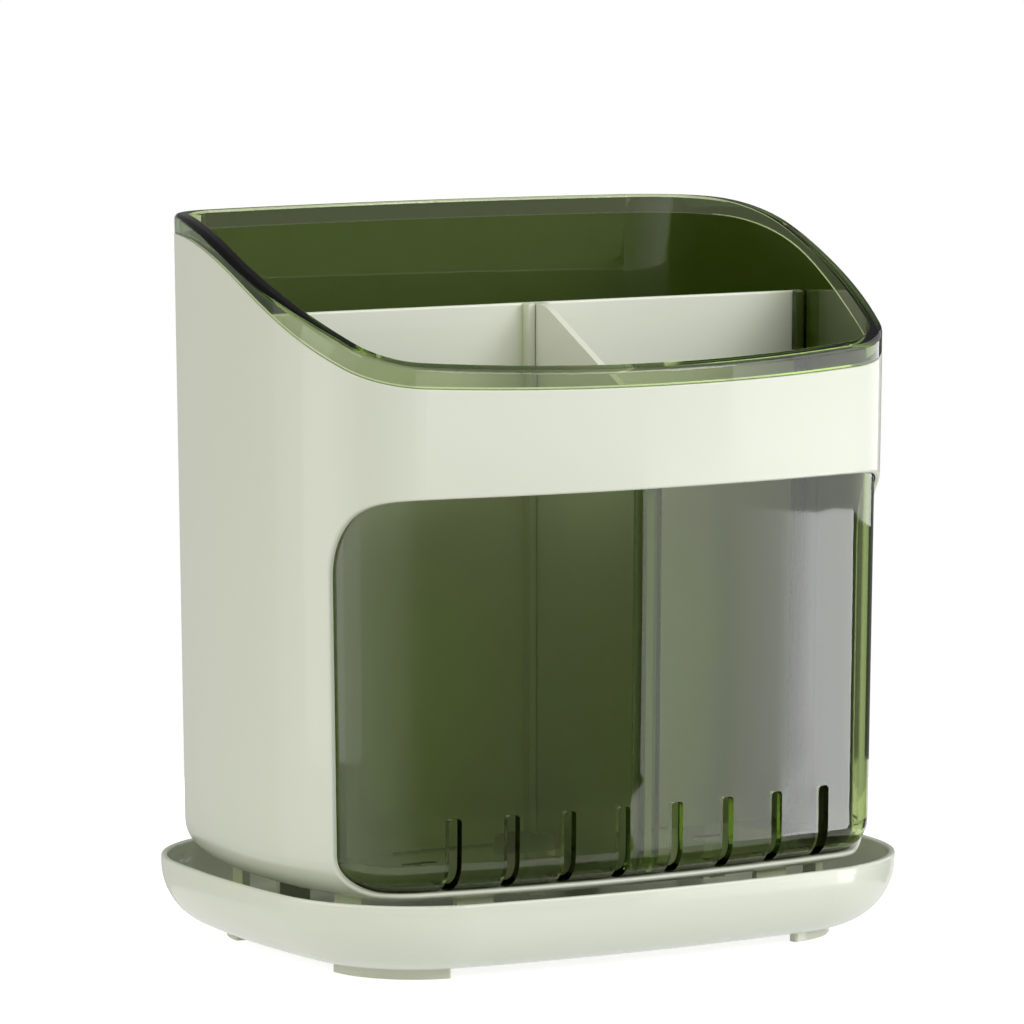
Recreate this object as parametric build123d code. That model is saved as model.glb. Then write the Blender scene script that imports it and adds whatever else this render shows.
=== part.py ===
from build123d import *
import os
from math import acos, atan2, degrees, hypot, radians, sqrt, tan

# Utensil holder: a clear liner with two lift-out dividers hangs in a tapered shell that stands in a drip tray.
# Millimetres, +Z up, front towards -Y. The origin is on the table, under the middle of the tray.

# Drip tray, sized at its rim
TRAY_WIDTH = 190.0
TRAY_DEPTH = 144.6
TRAY_FRONT_BOW = 484.0
TRAY_SIDE_BOW = 274.0
TRAY_CORNER = 43.0
TRAY_HEIGHT = 19.5
TRAY_WALL = 1.8
TRAY_BOTTOM_ROUND = 17.6
TRAY_LIP_ROUND = 0.6

# Feet under the tray's corners
FOOT_HEIGHT = 2.9
FOOT_WIDTH = 3.0
FOOT_SETBACK = 0.2
FOOT_START_ANGLE = 1.0
FOOT_END_ANGLE = 83.0
FOOT_END_ROUND = 0.8

# Outer shell, sized at its bottom, which sits a little below the tray's rim
SHELL_WIDTH = 176.7
SHELL_DEPTH = 130.5
SHELL_FRONT_BOW = 363.0
SHELL_SIDE_BOW = 145.0
SHELL_CORNER = 19.4
SHELL_DRAFT = 0.745
SHELL_WALL = 1.2
SHELL_FLOOR = 2.0
SHELL_BACK_HEIGHT = 169.4
SHELL_BOTTOM_ROUND = 10.0
SHELL_LIP = 16.0
SHELL_TOP_ROUND = 0.3
SHELL_SINK = 1.2

# The shell's sloped top edge, seen from the side, from the back wall forwards
SLOPE_FLAT = 26.6
SLOPE_BACK_RADIUS = 103.0
SLOPE_ANGLE = 26.4
SLOPE_STRAIGHT = 18.3
SLOPE_FRONT_RADIUS = 245.0

# Window through the shell's front and both front corners
WINDOW_BACK = 25.0
WINDOW_SILL = 2.7
WINDOW_HEIGHT = 103.6
WINDOW_TOP_ROUND = 21.0
WINDOW_BOTTOM_ROUND = 9.5
WINDOW_EDGE_ROUND = 0.7

# Posts in the tray that carry the shell's bottom lip, and nubs under that lip
POST_WALL = 2.2
POST_INSET = 11.4
POST_LENGTH = 10.2
POST_SIDE_SPACING = 61.8
POST_FRONT_SPACING = 92.0
NUB_HEIGHT = 1.0
NUB_LENGTH = 4.4
NUB_SIDE_SPACING = 19.8
NUB_FRONT_SPACING = 56.0

# Liner, with a rim that is a little lower at the front than at the back
LINER_GAP = 0.3
LINER_WALL = 2.4
LINER_FLOOR = 1.8
RIM_HEIGHT = 4.95
RIM_SETBACK = 0.1
RIM_ROUND = 1.4
RIM_INNER_ROUND = 0.6
RIM_FLAT = 22.6
RIM_BACK_RADIUS = 109.0
RIM_FRONT_HEIGHT = 4.6

# Drain slots round the liner's lower front edge, and in its floor
SLOT_COUNT = 8
SLOT_WIDTH = 3.5
SLOT_PITCH = 16.27
SLOT_TOP = 20.1
SLOT_ROUND = 1.1
SLOT_REACH = 11.0
FLOOR_SLOT_LENGTH = 10.5
FLOOR_SLOT_WIDTH = 3.0
FLOOR_SLOT_SPACING = 90.0
FLOOR_SLOT_FRONT = 19.0
FLOOR_SLOT_BACK = 30.0

# Dividers, and the rails that guide them
DIVIDER_WALL = 2.0
DIVIDER_GAP = 0.3
DIVIDER_DROP = 18.5
DIVIDER_OFFSET = 1.3
DIVIDER_EDGE_ROUND = 0.6
CROSS_FLAT = 7.5
CROSS_ROUND = 14.0
CROSS_ANGLE = 26.4
NOTCH_REACH = 12.8
NOTCH_HEIGHT = 3.0
NOTCH_ROUND = 2.0
RELIEF_LENGTH = 88.0
RELIEF_HEIGHT = 0.5
RAIL_WALL = 1.9
LINER_RAIL_REACH = 3.5
DIVIDER_RAIL_REACH = 3.2

# Heights worked out from the sizes above
TRAY_RIM = FOOT_HEIGHT + TRAY_HEIGHT
SHELL_BOTTOM = TRAY_RIM - SHELL_SINK
SHELL_BACK_TOP = SHELL_BOTTOM + SHELL_BACK_HEIGHT
LINER_BOTTOM = SHELL_BOTTOM + SHELL_FLOOR + LINER_GAP
FLOOR_TOP = LINER_BOTTOM + LINER_FLOOR
DIVIDER_TOP = SHELL_BACK_TOP - DIVIDER_DROP
DIVIDER_HEIGHT = DIVIDER_TOP - FLOOR_TOP
RIM_RISE = LINER_GAP + RIM_HEIGHT
BODY_TOP = SHELL_BACK_TOP + 2 * RIM_RISE

# How far each skin lies inside the shell's outer face
LINER_OUTSIDE = SHELL_WALL + LINER_GAP
LINER_INSIDE = LINER_OUTSIDE + LINER_WALL
DIVIDER_ENDS = LINER_INSIDE + DIVIDER_GAP

# Places of the long divider's front face and of the rails beside a divider
LONG_FRONT = -DIVIDER_OFFSET - DIVIDER_WALL / 2
RAIL_MIDDLE = DIVIDER_WALL / 2 + DIVIDER_GAP + RAIL_WALL / 2

# The back wall's outer face at its top
BACK_WALL = SHELL_DEPTH / 2 + SHELL_BACK_HEIGHT * tan(radians(SHELL_DRAFT))

# Cutters reach this far, past every piece, and sloped edges are drawn through this many points
REACH = TRAY_WIDTH
SMOOTH_STEPS = 40
ON_FACE = 0.01


def corner_centre(half_width, half_depth, front_bow, side_bow, corner):
    """Centre of the corner arc that touches a bowed front and a bowed side from inside."""
    front_offset = front_bow - half_depth
    side_offset = side_bow - half_width
    front_reach = front_bow - corner
    side_reach = side_bow - corner
    apart = hypot(front_offset, side_offset)
    along = (front_reach**2 - side_reach**2 + apart**2) / (2 * apart)
    across = sqrt(front_reach**2 - along**2)
    x = (across * front_offset - along * side_offset) / apart
    y = (along * front_offset + across * side_offset) / apart - front_offset
    return Vector(x, y)


def outline(half_width, half_depth, front_bow, side_bow, corner, height):
    """Face at a height: a rounded rectangle with four bowed sides."""
    centre = corner_centre(half_width, half_depth, front_bow, side_bow, corner)
    front_centre = Vector(0, half_depth - front_bow)
    side_centre = Vector(half_width - side_bow, 0)
    front_end = front_centre + (centre - front_centre).normalized() * front_bow
    side_end = side_centre + (centre - side_centre).normalized() * side_bow
    bend = centre + ((front_end + side_end) * 0.5 - centre).normalized() * corner
    front = ThreePointArc((-front_end.X, front_end.Y), (0, half_depth), front_end)
    side = ThreePointArc((side_end.X, -side_end.Y), (half_width, 0), side_end)
    turns = [ThreePointArc(front_end, bend, side_end)]
    turns.append(mirror(turns[0], about=Plane.YZ))
    half = [front, *turns]
    edges = [side, mirror(side, about=Plane.YZ), *half]
    edges += [mirror(edge, about=Plane.XZ) for edge in half]
    return Pos(0, 0, height) * make_face(edges)


def tray_face(inset, height):
    """The tray's outline, drawn in by inset."""
    return outline(
        TRAY_WIDTH / 2 - inset,
        TRAY_DEPTH / 2 - inset,
        TRAY_FRONT_BOW - inset,
        TRAY_SIDE_BOW - inset,
        TRAY_CORNER - inset,
        height,
    )


def shell_face(inset, height):
    """The shell's outline, drawn in by inset, which grows upwards with the draft."""
    drawn_in = inset - (height - SHELL_BOTTOM) * tan(radians(SHELL_DRAFT))
    return outline(
        SHELL_WIDTH / 2 - drawn_in,
        SHELL_DEPTH / 2 - drawn_in,
        SHELL_FRONT_BOW - drawn_in,
        SHELL_SIDE_BOW - drawn_in,
        SHELL_CORNER - drawn_in,
        height,
    )


def tapered_block(inset, bottom, top):
    """Solid of the shell's tapered outline between two heights."""
    return loft([shell_face(inset, bottom), shell_face(inset, top)], ruled=True)


def tapered_body(inset, bottom, top):
    """The same solid, rounded at the bottom."""
    body = tapered_block(inset, bottom, top)
    return fillet(body.edges().group_by(Axis.Z)[0], SHELL_BOTTOM_ROUND - inset)


def above(level, flat, radius, angle, straight, front=()):
    """Everything above a top edge: a flat at the back, a bend and a straight ramp, as one smooth face."""
    back = Line((REACH, level), (BACK_WALL - flat, level))
    bend = JernArc(back @ 1, (-1, 0), radius, angle)
    ramp = Line(bend @ 1, (bend @ 1) + (bend % 1) * straight)
    foot = [JernArc(ramp @ 1, ramp % 1, front_radius, -angle) for front_radius in front]
    path = Wire([back, bend, ramp, *foot])
    edge = Spline(*[path @ (step / SMOOTH_STEPS) for step in range(SMOOTH_STEPS + 1)])
    roof = Polyline(edge @ 1, ((edge @ 1).X, BODY_TOP), (REACH, BODY_TOP), edge @ 0)
    return extrude(Plane.YZ * make_face([edge, roof]), REACH, both=True)


def above_shell(rise):
    """Everything above the shell's top edge, raised by rise."""
    level = SHELL_BACK_TOP + rise
    return above(level, SLOPE_FLAT, SLOPE_BACK_RADIUS, SLOPE_ANGLE, SLOPE_STRAIGHT, [SLOPE_FRONT_RADIUS])


def above_rim():
    """Everything above the liner's rim, whose ramp runs straight from its bend to the front wall."""
    level = SHELL_BACK_TOP + RIM_RISE
    front_wall = Plane.XZ.offset(SHELL_DEPTH / 2)
    front_top = section(above_shell(LINER_GAP), front_wall).bounding_box().min.Z + RIM_FRONT_HEIGHT
    away = BACK_WALL - RIM_FLAT + SHELL_DEPTH / 2
    up = front_top - level + RIM_BACK_RADIUS
    angle = degrees(atan2(away, up) - acos(RIM_BACK_RADIUS / hypot(away, up)))
    return above(level, RIM_FLAT, RIM_BACK_RADIUS, angle, REACH)


def shared_edges(body, first, second):
    """The edges of a body that lie on the skins of two other solids."""
    found = ShapeList()
    for edge in body.edges():
        middle = edge @ 0.5
        if all(min(face.distance_to(middle) for face in skin.faces()) < ON_FACE for skin in (first, second)):
            found.append(edge)
    return found


def lip_ring(bottom, top):
    """Low wall that follows the shell's outline under its bottom lip."""
    ring = shell_face(POST_INSET, SHELL_BOTTOM) - shell_face(POST_INSET + POST_WALL, SHELL_BOTTOM)
    return Pos(0, 0, bottom - SHELL_BOTTOM) * extrude(ring, top - bottom)


def lip_pieces(bottom, top, length, side_spacing, front_spacing):
    """Two short pieces of that wall on each of the four sides."""
    ring = lip_ring(bottom, top)
    pieces = []
    for sign in (1, -1):
        side_box = Box(2 * REACH, length, 2 * REACH)
        front_box = Box(length, 2 * REACH, 2 * REACH)
        pieces.append(ring & Pos(0, sign * side_spacing / 2, 0) * side_box)
        pieces.append(ring & Pos(sign * front_spacing / 2, 0, 0) * front_box)
    return pieces


def make_tray():
    """Bowl with a large round underside, and posts inside it that carry the shell."""
    bowl = extrude(tray_face(0, FOOT_HEIGHT), TRAY_HEIGHT)
    bowl = fillet(bowl.edges().group_by(Axis.Z)[0], TRAY_BOTTOM_ROUND)
    hollow = extrude(tray_face(TRAY_WALL, FOOT_HEIGHT + TRAY_WALL), TRAY_HEIGHT)
    hollow = fillet(hollow.edges().group_by(Axis.Z)[0], TRAY_BOTTOM_ROUND - TRAY_WALL)
    bowl = bowl - hollow
    bowl = fillet(bowl.edges().group_by(Axis.Z)[-1], TRAY_LIP_ROUND)
    post_root = FOOT_HEIGHT + TRAY_WALL / 2
    return bowl + lip_pieces(post_root, SHELL_BOTTOM, POST_LENGTH, POST_SIDE_SPACING, POST_FRONT_SPACING)


def make_foot(side, end):
    """Curved pad that follows one corner of the tray's flat underside."""
    centre = corner_centre(TRAY_WIDTH / 2, TRAY_DEPTH / 2, TRAY_FRONT_BOW, TRAY_SIDE_BOW, TRAY_CORNER)
    outer = TRAY_CORNER - TRAY_BOTTOM_ROUND - FOOT_SETBACK
    turn = FOOT_END_ANGLE - FOOT_START_ANGLE
    arcs = [CenterArc(centre, radius, FOOT_START_ANGLE, turn) for radius in (outer, outer - FOOT_WIDTH)]
    ends = [Line(arcs[0] @ share, arcs[1] @ share) for share in (0, 1)]
    face = make_face([*arcs, *ends])
    pad = extrude(fillet(face.vertices(), FOOT_END_ROUND), FOOT_HEIGHT)
    if side < 0:
        pad = mirror(pad, about=Plane.YZ)
    if end < 0:
        pad = mirror(pad, about=Plane.XZ)
    return pad


def window_cutter():
    """Block that opens the front and both front corners, with two rounds where it meets the sides."""
    back = WINDOW_BACK - SHELL_DEPTH / 2
    sill = SHELL_BOTTOM + WINDOW_SILL
    face = Pos(back - REACH / 2, sill + WINDOW_HEIGHT / 2) * Rectangle(REACH, WINDOW_HEIGHT)
    face = fillet(face.vertices().sort_by(Axis.X)[-2:].sort_by(Axis.Y)[0], WINDOW_BOTTOM_ROUND)
    face = fillet(face.vertices().group_by(Axis.Y)[-1].sort_by(Axis.X)[-1], WINDOW_TOP_ROUND)
    return extrude(Plane.YZ * face, REACH, both=True)


def make_shell():
    """Tapered sleeve with a sloped top, an open bottom inside a lip, and a window round its front."""
    outside = tapered_body(0, SHELL_BOTTOM, BODY_TOP)
    inside = tapered_body(SHELL_WALL, SHELL_BOTTOM + SHELL_FLOOR, BODY_TOP)
    slope = above_shell(0)
    window = window_cutter()
    drain = extrude(shell_face(SHELL_LIP, SHELL_BOTTOM), 2 * SHELL_FLOOR, both=True)
    shell = outside - inside - slope - window - drain
    shell = fillet(shared_edges(shell, outside, slope), SHELL_TOP_ROUND)
    shell = fillet(shared_edges(shell, outside, window), WINDOW_EDGE_ROUND)
    nub_bottom = SHELL_BOTTOM - NUB_HEIGHT
    return shell + lip_pieces(nub_bottom, SHELL_BOTTOM, NUB_LENGTH, NUB_SIDE_SPACING, NUB_FRONT_SPACING)


def rail(x, y, length_x, length_y, top):
    """Upright slab from below the liner's floor up to a height."""
    return Pos(x, y, (top + LINER_BOTTOM) / 2) * Box(length_x, length_y, top - LINER_BOTTOM)


def make_hollow():
    """The liner's inside, less the two rails at each end of each divider."""
    front_top = cross_height(SHELL_DEPTH / 2 - LINER_INSIDE)
    rails = []
    for sign in (1, -1):
        rails.append(rail(sign * RAIL_MIDDLE, -REACH / 2, RAIL_WALL, REACH, front_top))
        rails.append(rail(0, sign * RAIL_MIDDLE - DIVIDER_OFFSET, 2 * REACH, RAIL_WALL, DIVIDER_TOP))
    core = tapered_block(LINER_INSIDE + LINER_RAIL_REACH, LINER_BOTTOM, BODY_TOP)
    rails = [slab - core for slab in rails]
    return tapered_body(LINER_INSIDE, FLOOR_TOP, BODY_TOP) - rails


def drain_slot(x):
    """Cutter for one slot that runs down the front wall and on under the floor."""
    front_radius = SHELL_FRONT_BOW - LINER_OUTSIDE
    front = front_radius - SHELL_DEPTH / 2 + LINER_OUTSIDE - sqrt(front_radius**2 - x**2)
    height = SLOT_TOP + 2 * LINER_FLOOR
    length = SLOT_REACH + 2 * LINER_WALL
    upright = Pos(x, LINER_BOTTOM + SLOT_TOP - height / 2) * RectangleRounded(SLOT_WIDTH, height, SLOT_ROUND)
    flat = Pos(x, front + SLOT_REACH - length / 2) * RectangleRounded(SLOT_WIDTH, length, SLOT_ROUND)
    wall_cut = extrude(Plane.XZ * upright, REACH)
    floor_cut = Pos(0, 0, LINER_BOTTOM - LINER_FLOOR) * extrude(flat, height)
    return wall_cut & floor_cut


def make_liner():
    """Clear tub with a rim that hangs on the shell's top edge, rails for the dividers and drain slots."""
    rim_outside = tapered_body(RIM_SETBACK, SHELL_BOTTOM, BODY_TOP)
    rim_top = above_rim()
    inside = tapered_body(LINER_INSIDE, FLOOR_TOP, BODY_TOP)
    tub = tapered_body(LINER_OUTSIDE, LINER_BOTTOM, BODY_TOP)
    liner = tub + (rim_outside & above_shell(LINER_GAP)) - rim_top - make_hollow()
    liner = fillet(shared_edges(liner, rim_outside, rim_top), RIM_ROUND)
    liner = fillet(shared_edges(liner, inside, rim_top), RIM_INNER_ROUND)
    for slot in range(SLOT_COUNT):
        liner = liner - drain_slot((slot - (SLOT_COUNT - 1) / 2) * SLOT_PITCH)
    floor_slot = extrude(SlotOverall(FLOOR_SLOT_LENGTH, FLOOR_SLOT_WIDTH), 2 * LINER_FLOOR, both=True)
    for side in (1, -1):
        for row in (-FLOOR_SLOT_FRONT, FLOOR_SLOT_BACK):
            liner = liner - Pos(side * FLOOR_SLOT_SPACING / 2, row, LINER_BOTTOM) * floor_slot
    return liner


def cross_height(depth):
    """Height of the cross divider's straight sloped top at a depth in front of the middle."""
    return DIVIDER_TOP - (depth + LONG_FRONT - CROSS_FLAT) * tan(radians(CROSS_ANGLE))


def notch(length_x, length_y, edge_axis):
    """Cutter for the drain notch under a divider, with its upper edges rounded along one axis."""
    cutter = Pos(0, 0, FLOOR_TOP) * Box(length_x, length_y, 2 * NOTCH_HEIGHT)
    return fillet(cutter.edges().filter_by(edge_axis).group_by(Axis.Z)[-1], NOTCH_ROUND)


def make_long_divider():
    """Plate across the liner, with two rails that take the cross divider and a drain notch under them."""
    room = tapered_body(DIVIDER_ENDS, FLOOR_TOP, DIVIDER_TOP)
    plate = room & Pos(0, -DIVIDER_OFFSET, DIVIDER_TOP) * Box(2 * REACH, DIVIDER_WALL, 2 * REACH)
    plate = fillet(plate.edges().group_by(Axis.Z)[-1].filter_by(Axis.X), DIVIDER_EDGE_ROUND)
    for sign in (1, -1):
        place = Pos(sign * RAIL_MIDDLE, LONG_FRONT - DIVIDER_RAIL_REACH / 2, FLOOR_TOP + DIVIDER_HEIGHT / 2)
        plate = plate + place * Box(RAIL_WALL, DIVIDER_RAIL_REACH, DIVIDER_HEIGHT)
    relief = Pos(0, 0, FLOOR_TOP) * Box(RELIEF_LENGTH, REACH, 2 * RELIEF_HEIGHT)
    return plate - relief - notch(2 * NOTCH_REACH, REACH, Axis.Y)


def make_cross_divider():
    """Plate from the long divider to the liner's front wall, with a top that slopes with the rim."""
    back = LONG_FRONT - DIVIDER_GAP
    front = -SHELL_DEPTH / 2
    room = tapered_body(DIVIDER_ENDS, FLOOR_TOP, DIVIDER_TOP)
    corners = ((back, DIVIDER_TOP), (LONG_FRONT - CROSS_FLAT, DIVIDER_TOP), (front, cross_height(-front)))
    top = FilletPolyline(*corners, radius=CROSS_ROUND)
    rest = Polyline(top @ 1, (front, FLOOR_TOP), (back, FLOOR_TOP), top @ 0)
    plate = extrude(Plane.YZ * make_face([top, rest]), DIVIDER_WALL / 2, both=True)
    plate = plate & room
    return plate - notch(REACH, 2 * (NOTCH_REACH - LONG_FRONT), Axis.X)


os.makedirs("parts", exist_ok=True)
export_step(make_tray(), "parts/drip_tray.step")
for end, end_name in ((-1, "front"), (1, "back")):
    for side, side_name in ((-1, "left"), (1, "right")):
        export_step(make_foot(side, end), f"parts/foot_{end_name}_{side_name}.step")
export_step(make_shell(), "parts/outer_shell.step")
export_step(make_liner(), "parts/liner.step")
export_step(make_long_divider(), "parts/long_divider.step")
export_step(make_cross_divider(), "parts/cross_divider.step")
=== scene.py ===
import math

import bmesh
import bpy
from mathutils import Matrix, Vector

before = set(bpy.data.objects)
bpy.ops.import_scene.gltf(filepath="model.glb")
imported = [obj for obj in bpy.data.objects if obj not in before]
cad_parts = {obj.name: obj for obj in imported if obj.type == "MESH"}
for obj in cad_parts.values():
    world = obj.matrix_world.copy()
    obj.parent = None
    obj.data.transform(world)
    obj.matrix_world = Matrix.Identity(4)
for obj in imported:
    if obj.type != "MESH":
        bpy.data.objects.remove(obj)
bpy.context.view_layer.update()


# Drip tray: a shallow bowl moulded in one shot from pale sage polypropylene, with a satin face.
# It stands on four pads and catches what drains out of the holder above it.
class Link:
    """An output of a shader node: sums and products of links add the Math nodes that work them out."""

    def __init__(self, tree, socket=None):
        self.tree = tree
        self.socket = socket

    def node(self, kind, settings=None, sockets=None, output=0):
        """Add a node: its settings first, then the values or links of its sockets."""
        node = self.tree.nodes.new(kind)
        for name, value in (settings or {}).items():
            setattr(node, name, value)
        for name, value in (sockets or {}).items():
            if isinstance(value, Link):
                self.tree.links.new(value.socket, node.inputs[name])
            else:
                node.inputs[name].default_value = value
        return Link(self.tree, node.outputs[output] if node.outputs else None)

    def math(self, operation, first, second):
        return self.node("ShaderNodeMath", {"operation": operation}, {0: first, 1: second})

    def __add__(self, other):
        return self.math("ADD", self, other)

    def __sub__(self, other):
        return self.math("SUBTRACT", self, other)

    def __rsub__(self, other):
        return self.math("SUBTRACT", other, self)

    def __mul__(self, other):
        return self.math("MULTIPLY", self, other)

    __radd__ = __add__
    __rmul__ = __mul__


def new_finish(name):
    """An empty node material, and the link that its first node starts from."""
    material = bpy.data.materials.new(name)
    material.use_nodes = True
    material.node_tree.nodes.clear()
    return material, Link(material.node_tree)


def close_finish(start, surface):
    """Join the finished shader to the material's output."""
    start.node("ShaderNodeOutputMaterial", None, {"Surface": surface})


def satin_plastic(name, colour, recess_shade_colour, roughness):
    """Moulded plastic with a faint cloudiness and a fine eroded grain, with painted shade: a deeper colour
    painted into its recesses.
    """
    material, start = new_finish(name)
    place = start.node("ShaderNodeTexCoord", None, None, "Object")
    cloud = start.node("ShaderNodeTexNoise", None, {"Vector": place, "Scale": 28.0, "Detail": 3.0})
    grain = start.node("ShaderNodeTexNoise", None, {"Vector": place, "Scale": 2600.0, "Detail": 2.0})
    shelter = {"samples": 8, "only_local": True}
    # Painted shade: the colour deepens toward the shade colour where ambient occlusion finds the surface
    # sheltered, standing in for shade and bounced light.
    painted_recess_shade = 1 - start.node("ShaderNodeAmbientOcclusion", shelter, {"Distance": 0.03}, "AO")
    tone = start.node(
        "ShaderNodeMix",
        {"data_type": "RGBA"},
        {"Factor": painted_recess_shade * painted_recess_shade + cloud * 0.08, "A": (*colour, 1), "B": (*recess_shade_colour, 1)},
        "Result",
    )
    bump = start.node("ShaderNodeBump", None, {"Strength": 0.05, "Distance": 0.0001, "Height": grain})
    sheen = roughness + (cloud - 0.5) * 0.06
    plastic = start.node(
        "ShaderNodeBsdfPrincipled",
        None,
        {
            "Base Color": tone,
            "Roughness": sheen,
            "IOR": 1.49,
            "Normal": bump,
            "Coat Weight": 0.45,
            "Coat Roughness": 0.07,
        },
    )
    close_finish(start, plastic)
    return material


def finish_node(name, material):
    """Give a CAD node its finish."""
    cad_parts[name].material_slots[0].material = material


# Its second colour is the painted shade for its recesses.
sage_plastic = satin_plastic("sage plastic", (0.732, 0.757, 0.7), (0.5, 0.63, 0.2), 0.36)
finish_node("drip_tray", sage_plastic)


# Feet: four soft pads pressed into the tray's underside at its corners.
# They are matt silicone in the tray's colour, painted paler here to make up for the shade under the tray, and
# keep it from sliding on a wet worktop.
# The first colour is painted paler than the tray's, as painted light against the shade under the tray; the
# second is the painted recess shade.
silicone_painted_paler = satin_plastic("soft silicone", (0.84, 0.86, 0.76), (0.62, 0.69, 0.42), 0.6)
for corner in ("front_left", "front_right", "back_left", "back_right"):
    finish_node(f"foot_{corner}", silicone_painted_paler)


# Outer shell: a tapered sleeve of the same sage plastic, with a window cut round its front.
# Its bottom lip stands on the tray's posts, and its sloped top edge carries the liner.
finish_node("outer_shell", sage_plastic)


# Liner: a tub of clear olive styrene plastic, dyed through and polished inside and out.
# It hangs by its rim on the shell's top edge, and drains through slots along its lower front edge.
def clear_plastic(name, dye, density, shade):
    """Polished clear plastic with a faint haze: its dye darkens it with depth and tints its shadow."""
    material, start = new_finish(name)
    place = start.node("ShaderNodeTexCoord", None, None, "Object")
    haze = start.node("ShaderNodeTexNoise", None, {"Vector": place, "Scale": 9.0, "Detail": 4.0})
    glass = start.node(
        "ShaderNodeBsdfPrincipled",
        None,
        {
            "Base Color": (1, 1, 1, 1),
            "Roughness": 0.012 + haze * 0.016,
            "IOR": 1.5,
            "Transmission Weight": 1.0,
        },
    )
    veil = start.node("ShaderNodeBsdfTransparent", None, {"Color": (*shade, 1)})
    surface = glass
    for kind in ("Shadow", "Diffuse"):
        light_ray = start.node("ShaderNodeLightPath", None, None, f"Is {kind} Ray")
        surface = start.node("ShaderNodeMixShader", None, {0: light_ray, 1: surface, 2: veil})
    tint = start.node("ShaderNodeVolumeAbsorption", None, {"Color": (*dye, 1), "Density": density})
    start.node("ShaderNodeOutputMaterial", None, {"Surface": surface, "Volume": tint})
    return material


clear_olive = clear_plastic("clear olive plastic", (0.525, 0.625, 0.25), 400.0, (0.38, 0.44, 0.17))
finish_node("liner", clear_olive)


# Dividers: two flat sage plates that drop into the liner's rails, their sage painted paler than the shell's
# to make up for the shade inside the liner.
# One runs from side to side, and the other from that to the front.
# Both lift out by hand, and a notch under each lets water run between the compartments.
# A paler copy of the sage: painted light for the shade inside the liner, with the same painted recess shade.
sage_painted_paler = satin_plastic("pale sage plastic", (0.85, 0.87, 0.8), (0.5, 0.63, 0.2), 0.36)
for plate in ("long_divider", "cross_divider"):
    finish_node(plate, sage_painted_paler)


# Studio: a white table under the object, soft lamps round it, and the camera of the photograph.
# The table and the room show white to the camera and through the clear liner, and stay dim as light.
# Curved cards round it show in gloss, and one behind it through the liner's rim as well.
def background_rays(start):
    """One for the rays that look at the background, from the camera, in gloss or through clear plastic."""
    camera_ray = start.node("ShaderNodeLightPath", None, None, "Is Camera Ray")
    glossy_ray = start.node("ShaderNodeLightPath", None, None, "Is Glossy Ray")
    clear_ray = start.node("ShaderNodeLightPath", None, None, "Is Transmission Ray")
    return start.math("MAXIMUM", start.math("MAXIMUM", camera_ray, glossy_ray), clear_ray)


def white_table(name):
    material, start = new_finish(name)
    diffuse = start.node("ShaderNodeBsdfDiffuse", None, {"Color": (0.8, 0.8, 0.8, 1)})
    glow = start.node("ShaderNodeEmission", None, {"Color": (1, 1, 1, 1), "Strength": 0.75})
    dim = start.node("ShaderNodeEmission", None, {"Color": (1, 1, 0.9, 1), "Strength": 0.1})
    seen = start.node("ShaderNodeMixShader", None, {0: background_rays(start), 1: dim, 2: glow})
    close_finish(start, start.node("ShaderNodeAddShader", None, {0: diffuse, 1: seen}))
    return material


floor_mesh = bpy.data.meshes.new("floor")
disc = bmesh.new()
bmesh.ops.create_circle(disc, cap_ends=True, segments=96, radius=0.3)
disc.to_mesh(floor_mesh)
disc.free()
floor = bpy.data.objects.new("floor", floor_mesh)
bpy.context.scene.collection.objects.link(floor)
floor.data.materials.append(white_table("white table"))
floor.visible_glossy = False

world = bpy.data.worlds.new("studio")
bpy.context.scene.world = world
world.use_nodes = True
world.node_tree.nodes.clear()
sky = Link(world.node_tree)
room = sky.node("ShaderNodeBackground", None, {"Color": (1, 1, 0.86, 1), "Strength": 0.53})
white = sky.node("ShaderNodeBackground", None, {"Color": (1, 1, 1, 1), "Strength": 1.0})
mixed = sky.node("ShaderNodeMixShader", None, {0: background_rays(sky), 1: room, 2: white})
sky.node("ShaderNodeOutputWorld", None, {"Surface": mixed})


def softbox(name, bearing, distance, height, width, tall, white, colour):
    """A soft lamp aimed at the object, at a bearing from the front to the right, this many times white."""
    turn = math.radians(bearing)
    place = Vector((math.sin(turn) * distance, -math.cos(turn) * distance, height))
    lamp = bpy.data.lights.new(name, "AREA")
    lamp.shape = "RECTANGLE"
    lamp.size = width
    lamp.size_y = tall
    lamp.energy = white * math.pi * width * tall
    lamp.color = colour
    holder = bpy.data.objects.new(name, lamp)
    holder.location = place
    holder.rotation_euler = (Vector((0, 0, 0.1)) - place).to_track_quat("-Z", "Y").to_euler()
    holder.visible_camera = False
    bpy.context.scene.collection.objects.link(holder)
    return holder


softbox("right sheet", 45.0, 1.8, 1.0, 1.0, 1.0, 2.6, (1, 1, 1))
softbox("front sheet", 20.0, 1.8, 0.95, 1.4, 0.8, 3.6, (1, 1, 1))
softbox("left sheet", -90.0, 1.8, 1.0, 1.0, 1.0, 2.6, (1, 1, 0.85))
back_sheet = softbox("back sheet", 180.0, 1.8, 1.0, 1.0, 1.0, 2.4, (1, 1, 1))
back_sheet.visible_glossy = False


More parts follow.
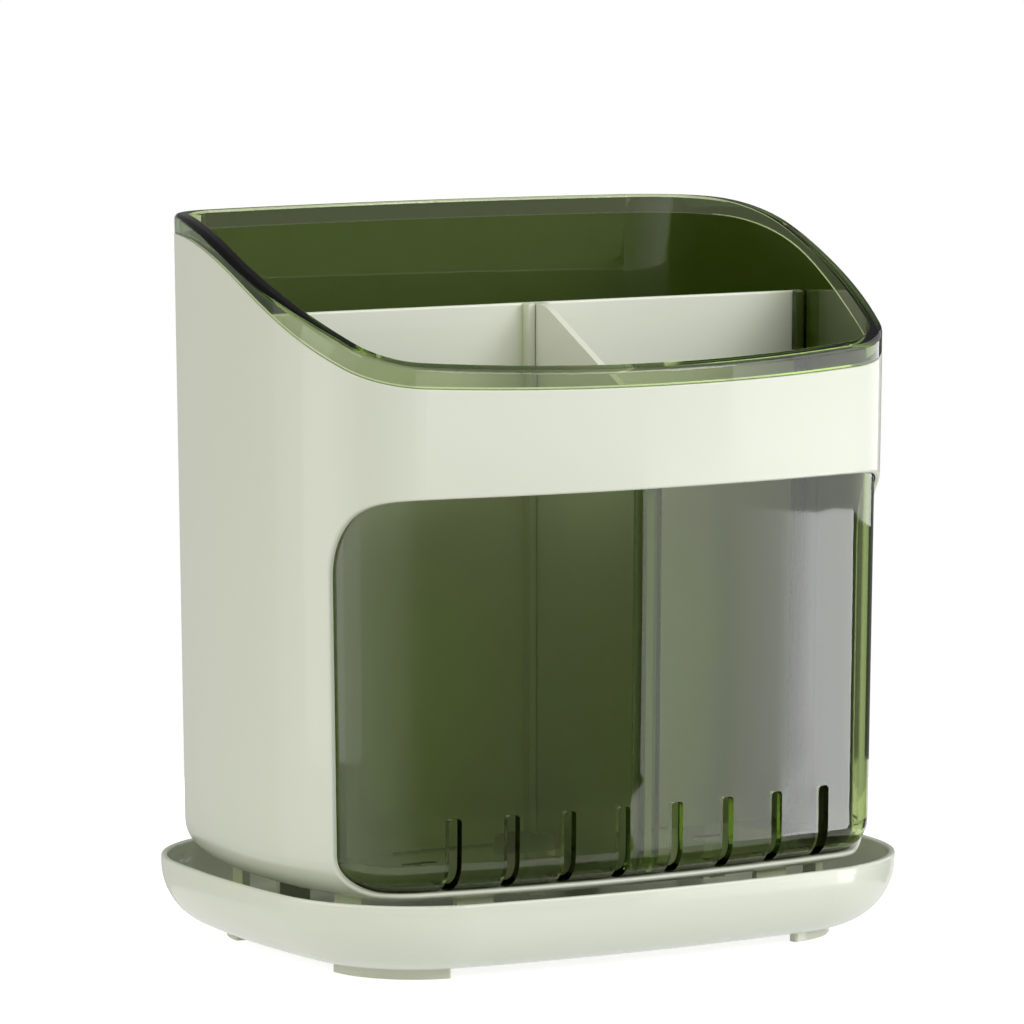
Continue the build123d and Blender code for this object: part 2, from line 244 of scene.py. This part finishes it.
def studio_card(name, distance, heights, bearings, brightness, clear=False):
    """A curved card round the object, shaded between two bearings: it shows in gloss, or if clear."""
    first, full, last = [math.radians(bearing) for bearing in bearings]
    mesh = bpy.data.meshes.new(name)
    card = bmesh.new()
    low, high = [card.verts.new((0, -distance, height)) for height in heights]
    bmesh.ops.rotate(card, verts=card.verts, matrix=Matrix.Rotation(first, 3, "Z"))
    edge = card.edges.new((low, high))
    bmesh.ops.spin(card, geom=[low, high, edge], cent=(0, 0, 0), axis=(0, 0, 1), angle=last - first, steps=32)
    card.to_mesh(mesh)
    card.free()
    piece = bpy.data.objects.new(name, mesh)
    bpy.context.scene.collection.objects.link(piece)
    material, start = new_finish(name)
    place = start.node("ShaderNodeTexCoord", None, None, "Object")
    across = start.node("ShaderNodeSeparateXYZ", None, {"Vector": place}, "X") * (1 / distance)
    reach = {"From Min": math.sin(first), "From Max": math.sin(full)}
    share = start.node("ShaderNodeMapRange", None, {"Value": across, **reach})
    near, far = [(level, level, level, 1) for level in brightness]
    shades = {"Factor": share, "A": near, "B": far}
    tone = start.node("ShaderNodeMix", {"data_type": "RGBA"}, shades, "Result")
    close_finish(start, start.node("ShaderNodeEmission", None, {"Color": tone, "Strength": 1.0}))
    piece.data.materials.append(material)
    for ray in ("camera", "diffuse", "shadow", "volume_scatter"):
        setattr(piece, f"visible_{ray}", False)
    piece.visible_transmission = clear


studio_card("back card", 1.0, (-0.1, 0.3), (115.0, 116.0, 163.0), (0.15, 0.15), clear=True)
studio_card("high back card", 1.0, (0.3, 4.0), (115.0, 116.0, 240.0), (0.15, 0.15))
studio_card("edge card", 1.0, (-0.3, 0.3), (163.0, 164.0, 228.0), (0.5, 0.5))
studio_card("stripe card", 1.0, (-0.1, 0.2), (-122.5, -122.0, -113.5), (2.3, 2.3))
studio_card("wide stripe card", 1.0, (-0.1, 0.2), (-113.5, -113.0, -92.0), (1.5, 1.5))
studio_card("dark card", 1.0, (-0.3, 0.16), (-75.0, 0.0, 115.0), (0.8, 0.06))
studio_card("rim card", 0.99, (0.02, 0.09), (-10.0, -9.0, 38.3), (1.6, 1.6))
studio_card("grey card", 0.99, (-0.3, 0.02), (28.4, 29.0, 38.3), (2.3, 2.3))
studio_card("pale card", 0.98, (-0.3, 0.0), (38.3, 44.5, 44.5), (2.3, 3.4))
studio_card("bright card", 0.98, (-0.3, 0.0), (44.5, 49.0, 62.0), (3.4, 7.4))
studio_card("side card", 0.98, (0.0, 0.02), (38.3, 39.0, 110.0), (2.4, 2.4))
studio_card("rim side card", 0.98, (0.02, 0.09), (38.3, 39.0, 110.0), (3.4, 3.4))

camera_data = bpy.data.cameras.new("camera")
camera_data.sensor_width = 36.0
camera_data.lens = 231.53
camera = bpy.data.objects.new("camera", camera_data)
camera.location = (-0.89763, -1.52827, 0.31195)
target = Vector((-0.003879, 0.002265, 0.115015))
camera.rotation_euler = (target - camera.location).to_track_quat("-Z", "Y").to_euler()
bpy.context.scene.collection.objects.link(camera)
bpy.context.scene.camera = camera
bpy.context.scene.view_settings.view_transform = "Standard"
